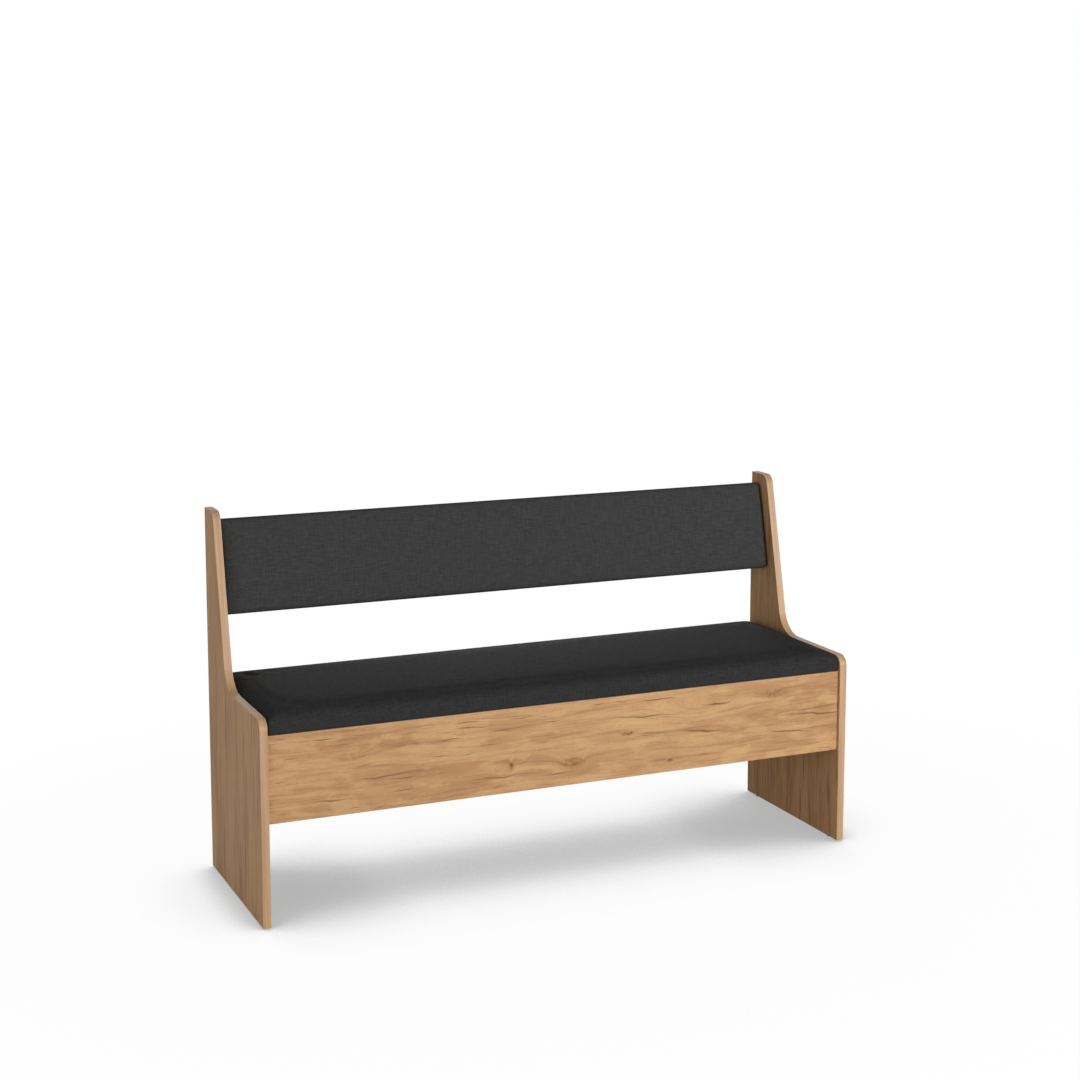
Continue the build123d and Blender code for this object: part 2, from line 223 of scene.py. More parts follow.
half_width, board, edge_band = 0.715, 0.018, 0.001
band_corner = 0.0009
front, back, foot = -0.215, 0.215, 0.003
seat_edge, arm_foot, arm_top, top = 0.454, 0.157, 0.070, 0.840
panel_corners = np.array([
    (front, foot), (back, foot), (back, top),
    (back - arm_top, top), (back - arm_foot, seat_edge), (front, seat_edge),
])
corner_radii = np.array([0.0, 0.0, 0.0, 0.025, 0.068, 0.025])


def rounded_path(corners, radii, steps=17):
    """Closed outline with its corners rounded: every corner is an arc of steps points from one
    tangent point to the other, or a single point. Gives the points and their outward mitres."""
    points, mitres = [], []
    unit = lambda v: v / np.linalg.norm(v)
    for i, radius in enumerate(radii):
        here = corners[i]
        arrive, leave = unit(here - corners[i - 1]), unit(corners[(i + 1) % len(corners)] - here)
        normals = np.array([[arrive[1], -arrive[0]], [leave[1], -leave[0]]])
        mitre = normals.sum(0) / (1 + normals[0] @ normals[1])
        if radius == 0:
            points.append(here[None])
            mitres.append(mitre[None])
            continue
        side = np.sign(arrive[0] * leave[1] - arrive[1] * leave[0])
        turn = np.linspace(0, 1, steps)[:, None]
        angle = np.arccos(np.clip(normals[0] @ normals[1], -1, 1))
        swing = np.sin((1 - turn) * angle) * normals[0] + np.sin(turn * angle) * normals[1]
        swing = swing / np.sin(angle)
        points.append(here - mitre * radius * side + swing * radius * side)
        mitres.append(swing)
    return np.concatenate(points), np.concatenate(mitres)


def quads(rows, columns, start=0):
    """Corner numbers of the four-sided faces between neighbouring points of a grid."""
    a = start + np.arange(rows - 1)[:, None] * columns + np.arange(columns - 1)
    return np.stack([a, a + 1, a + columns + 1, a + columns], -1).reshape(-1, 4)


def piece(name, body, material, grids, sharp=40.0):
    """New piece from grids of points, each with the flat place of its points as UV: the faces of all
    grids, joined where they meet, turned outwards, and smooth but for edges sharper than the angle."""
    points = np.concatenate([grid.reshape(-1, 3) for grid, _ in grids])
    flat = np.concatenate([uv.reshape(-1, 2) for _, uv in grids])
    starts = np.cumsum([0] + [grid.shape[0] * grid.shape[1] for grid, _ in grids])
    faces = np.concatenate([quads(*grid.shape[:2], start) for (grid, _), start in zip(grids, starts)])
    mesh = bpy.data.meshes.new(name)
    mesh.from_pydata(points, [], faces)
    mesh.uv_layers.new(name="flat").data.foreach_set("uv", flat[faces.ravel()].ravel())
    work = bmesh.new()
    work.from_mesh(mesh)
    weld = 2e-6
    bmesh.ops.remove_doubles(work, verts=work.verts, dist=weld)
    bmesh.ops.recalc_face_normals(work, faces=work.faces)
    work.to_mesh(mesh)
    work.free()
    mesh.polygons.foreach_set("use_smooth", np.ones(len(mesh.polygons), bool))
    mesh.set_sharp_from_angle(angle=radians(sharp))
    mesh.materials.append(material)
    made = bpy.data.objects.new(name, mesh)
    bpy.context.scene.collection.objects.link(made)
    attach(made, body)
    return made


def run_length(points):
    """Distance along a row of points, from the first."""
    steps = np.linalg.norm(np.diff(points, axis=0), axis=1)
    return np.concatenate([[0], np.cumsum(steps)])


def band_section(width, thickness, corner, steps=6):
    """Half-round strip section as (across, out): a flat glue face, and two rounded outer corners."""
    turn = np.linspace(0, pi / 2, steps)
    arc = np.stack([corner * (1 - np.cos(turn)), thickness - corner + corner * np.sin(turn)], -1)
    support = np.array([[1.6 * corner, thickness]])
    left = np.concatenate([[[0, 0]], arc, support]) - [width / 2, 0]
    right = left[::-1] * [-1, 1]
    return np.concatenate([left, right, left[:1]])


def edge_finish(name):
    """Edge strip: straw-coloured plastic printed with faint lines that follow the strip."""
    material, place = new_finish(name, IOR=1.45)
    flat = place.node("ShaderNodeSeparateXYZ", None, {0: place.out("UV")})
    run, across = flat.out("X"), flat.out("Y")
    lines = streaks(run, across, 0.12, 0.0016, 1.0)
    bands = streaks(run, across, 0.35, 0.007, 4.0)
    colour = tint(fade(bands, 0.35, 0.68), (0.560, 0.345, 0.190, 1), (0.455, 0.262, 0.138, 1))
    colour = tint(fade(lines, 0.50, 0.75) * 0.35, colour, (0.330, 0.172, 0.080, 1))
    paint(material, colour, 0.38 + lines * 0.12, lines, 0.00005)
    return material


edge_strip = edge_finish("edge_strip")
outline, mitres = rounded_path(panel_corners, corner_radii)
loop = np.concatenate([outline, outline[:1]])
loop_mitres = np.concatenate([mitres, mitres[:1]])
section = band_section(board, edge_band, band_corner)
for name, side in (("left", -1), ("right", 1)):
    ring = loop[:, None] + loop_mitres[:, None] * (section[:, 1] - edge_band)[None, :, None]
    x = np.broadcast_to(side * (half_width - board / 2) + section[:, 0], ring.shape[:2])
    grid = np.concatenate([x[..., None], ring], -1)
    flat = np.stack(np.meshgrid(run_length(loop), run_length(section), indexing="ij"), -1)
    band = piece(f"{name}_edge_strip", "frame", edge_strip, [(grid, flat)])
    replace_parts(band, f"{name}_edge_band")


# Front apron and rear panel. Two long boards of the same laminate make the chest's front and back.
# Their grain runs along the bench in soft clouds, and the apron shows small knots and thin cracks,
# which are listed as spot() reads a mark, in metres.

apron_knots = [
    (0.142, 0.328, 0.022, 0.0056, 0.10, 1.00),
    (-0.144, 0.287, 0.006, 0.0130, 0.0, 0.85),
    (0.005, 0.278, 0.036, 0.0180, 0.0, 0.62),
    (0.250, 0.254, 0.008, 0.0070, 0.0, 0.90),
    (0.316, 0.363, 0.100, 0.0260, 0.0, 0.0),
    (0.517, 0.379, 0.050, 0.0130, 0.0, 0.35),
    (-0.520, 0.352, 0.045, 0.0120, 0.0, 0.35),
]
apron_cracks = [
    (0.174, 0.364, 0.075, 0.0016, -0.043, 0.80),
    (-0.164, 0.370, 0.024, 0.0014, 0.0, 0.70),
    (-0.166, 0.265, 0.050, 0.0014, 0.0, 0.70),
    (0.560, 0.288, 0.050, 0.0015, -0.100, 0.75),
    (-0.236, 0.384, 0.036, 0.0015, -0.014, 0.65),
    (0.338, 0.313, 0.052, 0.0022, -0.130, 0.75),
    (0.640, 0.321, 0.060, 0.0018, -0.060, 0.70),
    (0.210, 0.322, 0.040, 0.0030, -0.080, 0.45),
    (-0.430, 0.300, 0.060, 0.0015, 0.040, 0.65),
    (-0.560, 0.262, 0.040, 0.0014, 0.0, 0.60),
]
long_bands, long_clouds = 0.40, (0.060, 0.026)
apron_oak = oak(
    "oak_apron", "X", "Z", "Y", (0.600, 0.050), -0.05, 31.0, long_bands, long_clouds,
    apron_knots, apron_cracks,
)
rear_oak = oak("oak_rear", "X", "Z", "Y", (0.560, 0.060), 0.05, 57.0, long_bands, long_clouds)
dress(apron_oak, "front_apron")
dress(rear_oak, "rear_panel")

apron_front, apron_bottom, apron_top = -0.208, 0.226, 0.417
rear_front, rear_top = 0.133, 0.4177
inner_half = half_width - board


def long_strips(name, face, bottom, top):
    """Two straight edge strips along a board: one on its top edge and one turned over under it."""
    ends = np.array([-inner_half, inner_half])
    grids = []
    for height, up in ((top - edge_band, 1), (bottom + edge_band, -1)):
        across = np.broadcast_to(face + board / 2 + section[:, 0], (2, len(section)))
        out = np.broadcast_to(height + up * section[:, 1], (2, len(section)))
        x = np.broadcast_to(ends[:, None], across.shape)
        flat = np.stack(np.meshgrid(ends + up, run_length(section), indexing="ij"), -1)
        grids.append((np.stack([x, across, out], -1), flat))
    return piece(name, "frame", edge_strip, grids)


apron_strips = long_strips("apron_edge_strips", apron_front, apron_bottom, apron_top)
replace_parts(apron_strips, "apron_edge_bands")
rear_strips = long_strips("rear_edge_strips", rear_front, apron_bottom, rear_top)
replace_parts(rear_strips, "rear_panel_edge_bands")


# Battens, dowels and chest floor. Pine battens are screwed to the long boards and carry a loose
# floor of pressed fibreboard. Beech dowels, out of sight, line up the boards with the panels.


def softwood_finish(name):
    """Planed pine: straight lines along the bench between paler bands, with a dry rough surface."""
    material, place = new_finish(name)
    axes = place.node("ShaderNodeSeparateXYZ", None, {0: place})
    g, c, d = axes.out("X"), axes.out("Y"), axes.out("Z")
    ring = c + d * 0.6
    lines = streaks(g, ring, 0.40, 0.0030, 2.0)
    fibre = streaks(g, ring, 0.030, 0.0006, 6.0)
    colour = tint(fade(lines, 0.42, 0.66), (0.74, 0.56, 0.33, 1), (0.60, 0.40, 0.20, 1))
    colour = tint(fade(fibre, 0.5, 0.8) * 0.3, colour, (0.42, 0.26, 0.12, 1))
    paint(material, colour, 0.62 + fibre * 0.2, fibre, 0.0002)
    return material


def fibreboard_finish(name):
    """Pressed fibreboard: short pale and dark fibres lying every way in a matt brown ground."""
    material, place = new_finish(name)
    specks = speckle(place, 420.0, 3.0)
    clouds = speckle(place, 14.0, 2.0)
    colour = tint(fade(specks, 0.40, 0.66), (0.56, 0.41, 0.25, 1), (0.40, 0.27, 0.145, 1))
    colour = tint(fade(clouds, 0.35, 0.75) * 0.35, colour, (0.62, 0.47, 0.30, 1))
    paint(material, colour, 0.70 + specks * 0.15, specks, 0.0002)
    return material


pine = softwood_finish("planed_pine")
fibreboard = fibreboard_finish("fibreboard")
dress(pine, "front_floor_batten", "rear_floor_batten", "wood_dowels")
dress(fibreboard, "storage_floor", "backrest_board", "seat_board")


# Metal fittings. Bright zinc-plated steel: cams with a cross slot let into the long boards, their
# bolts, countersunk screws with a cross slot, the hinges of the lid, and the backrest's brackets.


def zinc_finish(name):
    """Zinc plate on steel: a bright grey that varies in cloudy patches, with fine rolling lines."""
    material, place = new_finish(name, Metallic=1.0)
    axes = place.node("ShaderNodeSeparateXYZ", None, {0: place})
    rolling = streaks(axes.out("X"), axes.out("Y") + axes.out("Z"), 0.02, 0.0004, 3.0)
    clouds = speckle(place, 160.0, 3.0)
    colour = tint(fade(clouds, 0.35, 0.70), (0.66, 0.66, 0.64, 1), (0.52, 0.52, 0.50, 1))
    paint(material, colour, 0.28 + rolling * 0.14 + clouds * 0.08, rolling, 0.00003)
    return material


zinc = zinc_finish("zinc_plate")
dress(zinc, "cam_bolts", "hinge_fixed_leaves", "hinge_lid_leaves", "hinge_pins", "backrest_brackets")


def turned(profile, places, slot_reach=0.0, slot_half=0.0, slot_depth=0.0, sides=32):
    """Turned pieces at many places: a profile of (radius, height) carried round the axis, with a
    cross slot sunk in its top face where a point lies within slot_half of either slot's middle line."""
    angle = np.linspace(0, 2 * pi, sides + 1)
    radius, height = profile[:, :1], profile[:, 1:]
    x, y = radius * np.cos(angle), radius * np.sin(angle)
    z = np.broadcast_to(height, x.shape)
    long_way, short_way = np.maximum(abs(x), abs(y)), np.minimum(abs(x), abs(y))
    slotted = (short_way <= slot_half) & (long_way <= slot_reach) & (z > -1e-9)
    local = np.stack([x, y, z - slot_depth * slotted, np.ones_like(x)], -1)
    flat = np.stack(np.meshgrid(run_length(profile), angle * 0.003, indexing="ij"), -1)
    return [((local @ np.array(place).T)[..., :3], flat) for place in places]


def screw_profile(length):
    """Half section of a countersunk wood screw: ringed flat head, cone, shank and point. The head
    stands a tenth of a millimetre out of its hole and covers it."""
    rings = np.array([(0, 0), (0.35, 0), (0.7, 0), (1.1, 0), (1.5, 0), (1.9, 0), (2.3, 0), (3.05, 0)])
    tail = np.array([(3.25, -0.15), (1.7, -1.7), (1.7, 2.5 - length), (0.2, -length), (0, -length)])
    return (np.concatenate([rings, tail]) + [0, 0.1]) / 1000


def standing(x, y, z, out):
    """Placing matrix of a fitting whose head faces a direction at a point."""
    turn = Vector(out).to_track_quat("Z", "Y").to_matrix().to_4x4()
    return Matrix.Translation((x, y, z)) @ turn


def cross_screws(name, body, length, places, *replaced):
    """Countersunk screws of one length at their places, standing for the CAD screws."""
    slot_reach, slot_half, slot_depth = 0.0019, 0.00045, 0.0011
    grids = turned(screw_profile(length), places, slot_reach, slot_half, slot_depth)
    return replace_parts(piece(name, body, zinc, grids), *replaced)


batten_row = np.linspace(-0.597, 0.597, 5)
batten_front, batten_rear, batten_middle = -0.170, 0.113, 0.240
batten_places = [standing(x, batten_front, batten_middle, (0, 1, 0)) for x in batten_row]
batten_places += [standing(x, batten_rear, batten_middle, (0, -1, 0)) for x in batten_row]
cross_screws("batten_cross_screws", "frame", 32, batten_places, "batten_screws")

hinge_y, hinge_z, hinge_offset, leaf = 0.1549, 0.4141, 0.0039, 0.0015
hinge_row = (-0.522, 0.0, 0.522)
leaf_row = ((-0.020, 0.021), (0.0, 0.015), (0.020, 0.021))
hinge_holes = [(x + step, reach) for x in hinge_row for step, reach in leaf_row]
fixed_y, lid_z = hinge_y - hinge_offset + leaf, hinge_z + hinge_offset - leaf
fixed_places = [standing(x, fixed_y, hinge_z - reach, (0, 1, 0)) for x, reach in hinge_holes]
lid_places = [standing(x, hinge_y + reach, lid_z, (0, 0, -1)) for x, reach in hinge_holes]
cross_screws("hinge_fixed_cross_screws", "frame", 14, fixed_places, "hinge_fixed_screws")
cross_screws("hinge_lid_cross_screws", "seat_lid", 14, lid_places, "hinge_lid_screws")

cam_profile = np.array([
    (0, 0), (0.4, 0), (0.8, 0), (1.3, 0), (1.9, 0), (2.5, 0), (3.1, 0), (3.8, 0), (5.6, 0), (5.8, -0.25),
    (6.5, -0.25), (6.7, 0), (7.3, 0), (7.5, -0.2), (7.5, -12.5), (0, -12.5),
]) / 1000
cam_from_end, cam_from_edge = 0.034, 0.050
cam_places = [
    standing(side * (inner_half - cam_from_end), y, z, out)
    for y, edge, out in ((apron_front + board, apron_top, (0, 1, 0)), (rear_front, rear_top, (0, -1, 0)))
    for side in (-1, 1)
    for z in (apron_bottom + cam_from_edge, edge - cam_from_edge)
]
cam_grids = turned(cam_profile, cam_places, slot_reach=0.0032, slot_half=0.0007, slot_depth=0.0018)
cams = piece("cross_slot_cams", "frame", zinc, cam_grids)
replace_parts(cams, "cam_discs")


# Glides and bumpers. Brown plastic buttons are nailed under the panels, and soft rubber buttons
# are stuck on the apron's top edge, where the seat's front lies on them.


def moulded_finish(name, light, dark, rough):
    """Moulded plastic or rubber: one colour with a fine matt grain and slightly paler patches."""
    material, place = new_finish(name)
    grain = speckle(place, 1500.0, 2.0)
    clouds = speckle(place, 90.0, 2.0)
    paint(material, tint(fade(clouds, 0.3, 0.7), dark, light), rough + grain * 0.2, grain, 0.0001)
    return material


glide_plastic = moulded_finish("brown_plastic", (0.190, 0.110, 0.062, 1), (0.150, 0.084, 0.046, 1), 0.42)
bumper_rubber = moulded_finish("black_rubber", (0.040, 0.040, 0.041, 1), (0.026, 0.026, 0.027, 1), 0.60)
glide_profile = np.array([(0, 0), (6.2, 0), (6.9, 0.2), (7.35, 0.7), (7.5, 1.3), (7.5, 3.0), (0, 3.0)])
glide_x, glide_y = 0.706, 0.170
glide_places = [Matrix.Translation((x, y, 0)) for x in (-glide_x, glide_x) for y in (-glide_y, glide_y)]
glide_grids = turned(glide_profile / 1000, glide_places)
glides = piece("nailed_glides", "frame", glide_plastic, glide_grids)
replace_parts(glides, "floor_glides")
bumper_profile = np.array([(0, 0), (5.0, 0), (5.0, 0.5), (4.85, 0.8), (4.5, 0.95), (4.0, 1.0), (0, 1.0)])
bumper_y, bumper_row = -0.197, np.linspace(-0.637, 0.637, 4)
bumper_places = [Matrix.Translation((x, bumper_y, apron_top)) for x in bumper_row]
bumper_grids = turned(bumper_profile / 1000, bumper_places)
bumpers = piece("rubber_bumpers", "frame", bumper_rubber, bumper_grids)
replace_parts(bumpers, "lid_bumpers")


# Backrest. Foam on a board is wrapped in charcoal cloth, drawn tight and stapled behind, where a
# thin black lining covers the board. It leans back between the panels on steel brackets.


def ring_outline(length, width, corner, inset, soften, long_steps, short_steps, arc_steps=7):
    """Rounded rectangles, one for each inset from the pad's outline: points along the front, round
    a corner, up an end, and so on back to the first. The corner's radius shrinks with the inset, at
    first by as much, grows by soften, and comes to nothing at the middle line, where front and back
    meet."""
    half = np.stack([length / 2 - inset, width / 2 - inset], -1)[:, None, None]
    radius = corner**2 / (corner + np.maximum(inset, 0)) + soften
    radius = (radius * (1 - inset / (width / 2)))[:, None, None, None]
    turn = np.linspace(0, pi / 2, arc_steps)
    arc = np.stack([np.sin(turn), -np.cos(turn)], -1)
    signs = np.array([(1, -1), (1, 1), (-1, 1), (-1, -1)])
    quarter = [np.array([[cos(a), sin(a)], [-sin(a), cos(a)]]) for a in (0, pi / 2, pi, -pi / 2)]
    arcs = np.stack([arc @ q for q in quarter])[None]
    corners = signs[None, :, None] * (half - radius) + arcs * radius
    starts = np.roll(corners, 1, axis=1)[:, :, -1]
    counts = (long_steps, short_steps, long_steps, short_steps)
    rows = []
    for k, count in enumerate(counts):
        share = np.linspace(0, 1, count, endpoint=False)[None, :, None]
        rows += [starts[:, k, None] * (1 - share) + corners[:, k, :1] * share, corners[:, k, :-1]]
    return np.concatenate(rows + [rows[0][:, :1]], axis=1)


def pad(name, body, finish, place, length, width, crown, rise, roll, corner, base, swell):
    """Upholstered pad on a board, face up: a path of (inset, height) from the middle of the back
    round its edge to the middle of the face, carried round the rounded outline, with a crown added
    over the face. The cloth above the board is then blown up by the simulation, by swell at most."""
    bend = np.linspace(0, pi / 2, 6)
    over = np.linspace(0, pi / 2, 9)
    lean, hem, tuck = 0.0015, 0.0038, 0.026
    long_step, short_step, face_step = 0.009, 0.016, 0.018
    board_face = 0.0016
    roll_in, roll_up = roll
    side = np.linspace(base - 0.001, crown - rise - swell - roll_up, 4)[:, None]
    under = np.array([(width / 2, board_face), (tuck + 0.004, board_face), (tuck, board_face), (tuck, 0)])
    tucked = np.stack([np.linspace(tuck - 0.003, hem + 0.001, 4), np.zeros(4)], -1)
    foot = np.stack([hem * (1 - np.sin(bend)), hem * (1 - np.cos(bend))], -1)
    wall = np.concatenate([lean * (side - base) / (crown - base), side], 1)
    start = wall[-1]
    rolled = np.stack([start[0] + roll_in * (1 - np.cos(over)), start[1] + roll_up * np.sin(over)], -1)[1:]
    face = np.linspace(rolled[-1, 0], width / 2, int(width / face_step))[1:]
    across = np.stack([face, np.full_like(face, rolled[-1, 1])], -1)
    path = np.concatenate([under, tucked, foot, wall, rolled, across])
    inset, height = path[:, 0], path[:, 1]
    crowned = np.clip((inset - start[0]) / roll_in, 0, 1) * (height > base)
    soften = 0.7 * roll_in * crowned
    steps = int(length / long_step), int(width / short_step)
    rings = ring_outline(length, width, corner, inset, soften, *steps)
    lift = rise * crowned[:, None] * (1 - (2 * rings[..., 1] / width) ** 2)
    raised = height[:, None, None] + lift[..., None]
    local = np.concatenate([rings, raised, np.ones_like(raised)], -1)
    unrolled = run_length(path)
    unrolled = (unrolled[-1] - unrolled)[:, None, None]
    middle = rings[-1:]
    spread = rings - middle
    reach = np.linalg.norm(spread, axis=-1, keepdims=True)
    flat = middle + spread / np.maximum(reach, 1e-9) * unrolled
    grid = (local @ np.array(place).T)[..., :3]
    made = piece(name, body, finish, [(grid, flat)], sharp=180.0)
    upright = np.array(place.inverted())
    above = vertices(made.data) @ upright[2, :3] + upright[2, 3]
    swell_up(made, above < base, swell, length / 2)
    smooth = made.modifiers.new("soft", "SUBSURF")
    smooth.levels = smooth.render_levels = 1
    return made


def vertices(mesh):
    """Points of a mesh as rows."""
    points = np.empty(len(mesh.vertices) * 3)
    mesh.vertices.foreach_get("co", points)
    return points.reshape(-1, 3)


def swell_up(made, held, most, end, frames=20):
    """Cloth simulation with air pressure inside and held points on the board. The foam lets no
    point sink in, the side panels let none out past the ends, and none may move by more than most."""
    before = vertices(made.data)
    group = made.vertex_groups.new(name="held")
    group.add(np.flatnonzero(held).tolist(), 1.0, "REPLACE")
    cloth = made.modifiers.new("cloth", "CLOTH")
    cloth.settings.quality = 6
    cloth.settings.mass = 0.25
    cloth.settings.tension_stiffness = cloth.settings.compression_stiffness = 18
    cloth.settings.shear_stiffness = 8
    cloth.settings.bending_stiffness = 1.0
    cloth.settings.use_pressure = True
    cloth.settings.uniform_pressure_force = 4.0
    cloth.settings.vertex_group_mass = "held"
    cloth.settings.effector_weights.gravity = 0.0
    cloth.collision_settings.use_collision = False
    for step in range(1, frames + 1):
        bpy.context.scene.frame_set(step)
    blown = made.evaluated_get(bpy.context.evaluated_depsgraph_get())
    move = vertices(blown.data) - before
    outward = np.empty(len(before) * 3)
    made.data.vertices.foreach_get("normal", outward)
    outward = outward.reshape(-1, 3)
    sunk = np.minimum((move * outward).sum(1, keepdims=True), 0)
    move -= outward * sunk
    far = np.linalg.norm(move, axis=1, keepdims=True)
    move *= most * np.tanh(far / most) / np.maximum(far, 1e-9)
    made.modifiers.remove(cloth)
    made.vertex_groups.remove(group)
    after = before + move
    after[:, 0] = np.clip(after[:, 0], -end, end)
    made.data.vertices.foreach_set("co", after.ravel())
    made.data.update()
    bpy.context.scene.frame_set(1)


def charcoal_cloth(name, light):
    """Charcoal plain weave: two sets of threads cross, over and under by turns, each thread a little
    lighter or darker along its length, with small slubs that make the cloth look mottled, and with
    painted shade where the threads dip under. Light scales all its greys as painted light: it makes
    lighter and darker copies of one cloth for how brightly each pad is lit."""
    grey = lambda value: (value * light, value * light, value * light, 1)
    material, place = new_finish(name, Specular_IOR_Level=0.03)
    flat = place.node("ShaderNodeSeparateXYZ", None, {0: place.out("UV")})
    u, v = flat.out("X"), flat.out("Y")
    pitch = 0.0011
    warp = streaks(v, u, 0.030, 0.0024, 2.0)
    weft = streaks(u, v, 0.030, 0.0024, 8.0)
    slub_up = fade(streaks(v, u, 0.016, 0.0032, 15.0), 0.56, 0.74)
    slub_across = fade(streaks(u, v, 0.016, 0.0032, 21.0), 0.56, 0.74)
    turn_u, turn_v = u * (pi / pitch), v * (pi / pitch)
    over = turn_u.math("SINE", turn_u) * turn_v.math("SINE", turn_v)
    height = over * 0.5 + 0.5
    tone = warp * 0.5 + weft * 0.5
    colour = tint(fade(tone, 0.36, 0.64), grey(0.042), grey(0.062))
    colour = tint((slub_up + slub_across) * 0.14, colour, grey(0.095))
    # Painted shade: the cloth is made darker where the threads dip under, as shade between them.
    colour = tint(fade(height, 0.55, 0.0) * 0.45, colour, grey(0.018))
    paint(material, colour, 0.82 + tone * 0.15, height + (slub_up + slub_across) * 0.4, 0.00035)
    return material


# Painted light: the backrest's copy of the cloth has its greys made a tenth lighter, for the light on its
# upright face.
back_cloth = charcoal_cloth("charcoal_weave_painted_lit", 1.10)

arm_slope = atan2(arm_foot - arm_top, top - seat_edge)
back_centre, back_setback, back_crown = 0.716, 0.022, 0.038
out_of_front = Vector((0, -cos(arm_slope), sin(arm_slope)))
up_the_slope = Vector((0, sin(arm_slope), cos(arm_slope)))
arm_front = back - arm_foot + (back_centre - seat_edge) * tan(arm_slope)
front_middle = Vector((0, arm_front + back_setback, back_centre))
back_middle = front_middle - out_of_front * back_crown
leaned = Matrix(((1, 0, 0), up_the_slope, out_of_front)).transposed().to_4x4()
leaning = Matrix.Translation(back_middle) @ leaned

end_gap = 0.0015
back_length, back_height = 2 * (inner_half - end_gap), 0.216
back_pad = pad(
    "backrest_pad", "frame", back_cloth, leaning, back_length, back_height, back_crown,
    rise=0.003, roll=(0.013, 0.013), corner=0.008, base=0.0132, swell=0.002,
)
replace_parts(back_pad, "backrest_cover", "backrest_foam")


def lining_finish(name):
    """Thin black spun lining: matted fibres with a faint dimpled press pattern."""
    material, place = new_finish(name, Specular_IOR_Level=0.08)
    fibres = speckle(place, 900.0, 3.0)
    patches = speckle(place, 30.0, 2.0)
    colour = tint(fade(fibres, 0.35, 0.70), (0.012, 0.012, 0.013, 1), (0.030, 0.030, 0.031, 1))
    colour = tint(fade(patches, 0.4, 0.7) * 0.4, colour, (0.022, 0.022, 0.023, 1))
    paint(material, colour, 0.80 + fibres * 0.15, fibres, 0.0002)
    return material


lining_cloth = lining_finish("spun_lining")


def lining(name, body, place, length, width, thickness=0.0010, tuck=0.0262):
    """Lining stretched over a pad's back: a sheet that ripples by fractions of a millimetre between
    its stapled edges, where it lies flat, with a second sheet behind it to give it thickness."""
    size = (length - 2 * tuck, width - 2 * tuck)
    s, t = np.meshgrid(np.linspace(-0.5, 0.5, 240), np.linspace(-0.5, 0.5, 60), indexing="ij")
    inside = (1 - (2 * s) ** 6) * (1 - (2 * t) ** 4)
    x, y = s * size[0], t * size[1]
    waves = np.sin(x * 31 + 3 * np.sin(y * 17)) * np.sin(y * 43 + 2 * np.sin(x * 9))
    ripple = 0.0003 * inside * (waves - 1)
    skin = np.stack([x, y, 0.0001 - ripple * 0.4, np.ones_like(x)], -1)
    behind = skin + [0, 0, thickness, 0]
    rim = [np.stack([skin[k], behind[k]]) for k in (0, -1)]
    rim += [np.stack([skin[:, k], behind[:, k]]) for k in (0, -1)]
    grids = [((part @ np.array(place).T)[..., :3], part[..., :2]) for part in (skin, behind, *rim)]
    made = piece(name, body, lining_cloth, grids)
    return made


back_lining = lining("backrest_black_lining", "frame", leaning, back_length, back_height)
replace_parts(back_lining, "backrest_lining")


def staples(name, body, place, spots):
    """Wire staples lying on a pad's back: a bar along a direction with its two ends bent into the
    cloth, each a squared tube of a few faces round a path of six points. Spots are x, y and angle."""
    reach = np.array([(-5.0, 0.6), (-5.0, -0.3), (-4.6, -0.5), (4.6, -0.5), (5.0, -0.3), (5.0, 0.6)]) / 1000
    ring = np.array([(1, 1), (-1, 1), (-1, -1), (1, -1), (1, 1)]) * 0.00035
    grids = []
    for x, y, angle in spots:
        path = np.stack([x + reach[:, 0] * cos(angle), y + reach[:, 0] * sin(angle), reach[:, 1]], -1)
        aside = np.array([-sin(angle), cos(angle), 0])
        tube = path[:, None] + ring[None, :, :1] * aside + ring[None, :, 1:] * np.array([0, 0, 1])
        ends = [np.stack([tube[k, [0, 1]], tube[k, [3, 2]]]) for k in (0, -1)]
        for part in (tube, *ends):
            whole = np.concatenate([part, np.ones_like(part[..., :1])], -1)
            grids.append(((whole @ np.array(place).T)[..., :3], part[..., :2]))
    return piece(name, body, zinc, grids)


def staple_spots(length, width, end_row, edge_in=0.012):
    """Staples in from a pad's edges: one row along each long edge, and one up each end."""
    long_row = np.linspace(-0.655, 0.655, 30)
    spots = [(x, side * (width / 2 - edge_in), 0.0) for side in (-1, 1) for x in long_row]
    return spots + [(side * (length / 2 - edge_in), y, pi / 2) for side in (-1, 1) for y in end_row]


back_spots = staple_spots(back_length, back_height, (-0.075, -0.022, 0.0, 0.022, 0.075))
staples("backrest_staples", "frame", leaning, back_spots)
bracket_leaf, wall_hole = 0.002, 0.012
cross_places = []
for side in (-1, 1):
    for step in (-0.045, 0.045):
        for inward in (0.014, 0.025):
            hole = leaning @ Vector((side * (inner_half - inward), step, -bracket_leaf))
            cross_places.append(standing(*hole, -out_of_front))
        hole = leaning @ Vector((side * (inner_half - bracket_leaf), step, -wall_hole))
        cross_places.append(standing(*hole, (-side, 0, 0)))
cross_screws("bracket_cross_screws", "frame", 11, cross_places, "bracket_screws")


# Seat. A wide pad of the same make is the chest's lid: foam on a board in charcoal cloth, rolled
# over at the front, stapled and lined underneath, and hinged along its rear to the chest.

seat_length, seat_depth = 2 * (inner_half - end_gap), 0.416
lid_middle, lid_bottom = -0.001, 0.4180
lying = Matrix.Translation((0, lid_middle, lid_bottom))
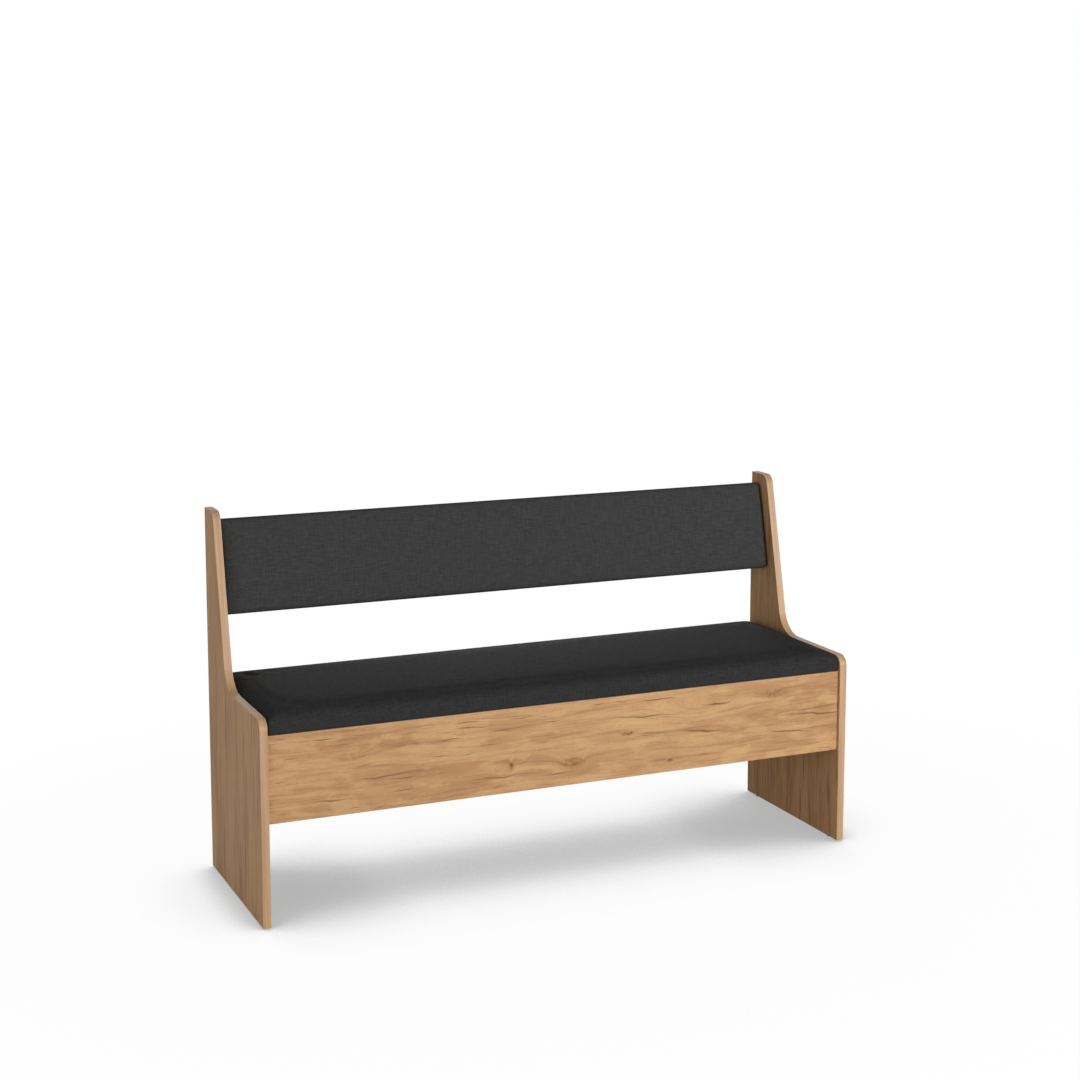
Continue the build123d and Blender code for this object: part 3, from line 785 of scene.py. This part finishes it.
# Painted shade: the seat's copy of the cloth has its greys scaled to 0.72, for the dimmer light on its top.
seat_cloth = charcoal_cloth("charcoal_weave_painted_shaded", 0.72)
seat_pad = pad(
    "seat_pad", "seat_lid", seat_cloth, lying, seat_length, seat_depth, crown=0.0531,
    rise=0.0045, roll=(0.036, 0.024), corner=0.006, base=0.0172, swell=0.004,
)
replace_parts(seat_pad, "seat_cover", "seat_foam")
seat_lining = lining("seat_black_lining", "seat_lid", lying, seat_length, seat_depth)
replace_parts(seat_lining, "seat_lining")
seat_spots = staple_spots(seat_length, seat_depth, np.linspace(-0.165, 0.105, 7))
staples("seat_staples", "seat_lid", lying, seat_spots)


# Floor, light and camera. The floor is pale and turns white away from the bench, so that only the
# bench's soft shadow shows, painted as shade into the floor's white glow. Broad lamps stand in front,
# at the left and behind, and the camera has the photograph's angle.


def backdrop_rays(start):
    """1 for what the camera sees directly, in metal or through glass, and 0 for the light on the bench."""
    path = start.node("ShaderNodeLightPath")
    seen, mirrored = path.out("Is Camera Ray"), path.out("Is Glossy Ray")
    either = seen.math("MAXIMUM", seen, mirrored)
    return either.math("MAXIMUM", either, path.out("Is Transmission Ray"))


def floor_finish(name):
    """Pale floor under the lamps. The backdrop's rays see it as a white glow, with painted shadow where
    the bench stands close over it, stronger between the panels, which fades to plain white outwards."""
    material, place = new_finish(name, Roughness=0.9, Specular_IOR_Level=0.1)
    nodes_of, links = material.node_tree.nodes, material.node_tree.links
    axes = place.node("ShaderNodeSeparateXYZ", None, {0: place})
    x, y = axes.out("X"), axes.out("Y")
    square = x * x + y * y * 1.4
    far = square.math("SQRT", square)
    grain = speckle(place, 60.0, 2.0)
    seen = backdrop_rays(place)
    pale = tint(grain, (0.42, 0.42, 0.42, 1), (0.46, 0.46, 0.46, 1))
    paint(material, tint(seen, pale, (0.98, 0.98, 0.98, 1)))
    open_sky = place.node("ShaderNodeAmbientOcclusion", {"samples": 8}, {"Distance": 0.36}, "AO")
    plain = fade(far, 0.9, 2.2)
    # Painted shadow: the glow is darkened by how closed in the floor is under the bench, more between the
    # panels.
    under = fade(x.math("ABSOLUTE", x), 0.80, 0.715)
    shade = fade(open_sky, 0.90, 0.40) * 0.54 * (0.4 + under * 0.6)
    lit = 1.0 - (1.0 - plain) * shade
    white = place.node("ShaderNodeEmission", None, {"Color": lit, "Strength": 1.0})
    mask = (0.965 + plain * 0.035) * seen
    lamplit = Field(nodes_of["Principled BSDF"].outputs[0])
    mixed = place.node("ShaderNodeMixShader", None, {0: mask, 1: lamplit, 2: white})
    links.new(mixed.socket, nodes_of["Material Output"].inputs["Surface"])
    return material


floor_mesh = bpy.data.meshes.new("floor")
far_x, far_y = 14.0, 14.0
floor_corners = [(-far_x, -far_y, 0), (far_x, -far_y, 0), (far_x, far_y, 0), (-far_x, far_y, 0)]
floor_mesh.from_pydata(floor_corners, [], [(0, 1, 2, 3)])
floor_mesh.materials.append(floor_finish("pale_floor"))
floor = bpy.data.objects.new("floor", floor_mesh)
bpy.context.scene.collection.objects.link(floor)

sky = bpy.data.worlds.new("studio")
sky.use_nodes = True
bpy.context.scene.world = sky
background = Field(sky.node_tree.nodes["Background"].outputs[0])
dim = 0.20
strength = dim + backdrop_rays(background) * (1 - dim)
sky.node_tree.links.new(strength.socket, sky.node_tree.nodes["Background"].inputs["Strength"])
sky.node_tree.nodes["Background"].inputs["Color"].default_value = (1, 1, 1, 1)


def lamp(name, place, size, power, aim=(0, 0, 0.4)):
    """Square soft lamp that points from its place to its aim."""
    light = bpy.data.lights.new(name, "AREA")
    light.size, light.energy = size, power
    made = bpy.data.objects.new(name, light)
    made.location = place
    made.rotation_euler = (Vector(aim) - Vector(place)).to_track_quat("-Z", "Y").to_euler()
    bpy.context.scene.collection.objects.link(made)


lamp("key", (2.2, -5.0, 1.5), size=2.0, power=222.0)
lamp("fill", (-4.6, -2.6, 1.4), size=2.6, power=60.0)
lamp("rim", (1.8, 4.6, 0.9), size=1.6, power=100.0)

lens = bpy.data.cameras.new("camera")
lens.lens, lens.sensor_width, lens.shift_y = 64.7774, 36.0, -0.08
camera = bpy.data.objects.new("camera", lens)
yaw, pitch = 0.4118, 0.1339
camera.location = (-1.7517, -4.0461, 1.5433)
camera.rotation_euler = (pi / 2 - pitch, 0, -yaw)
bpy.context.scene.collection.objects.link(camera)
bpy.context.scene.camera = camera
bpy.context.scene.view_settings.view_transform = "Standard"
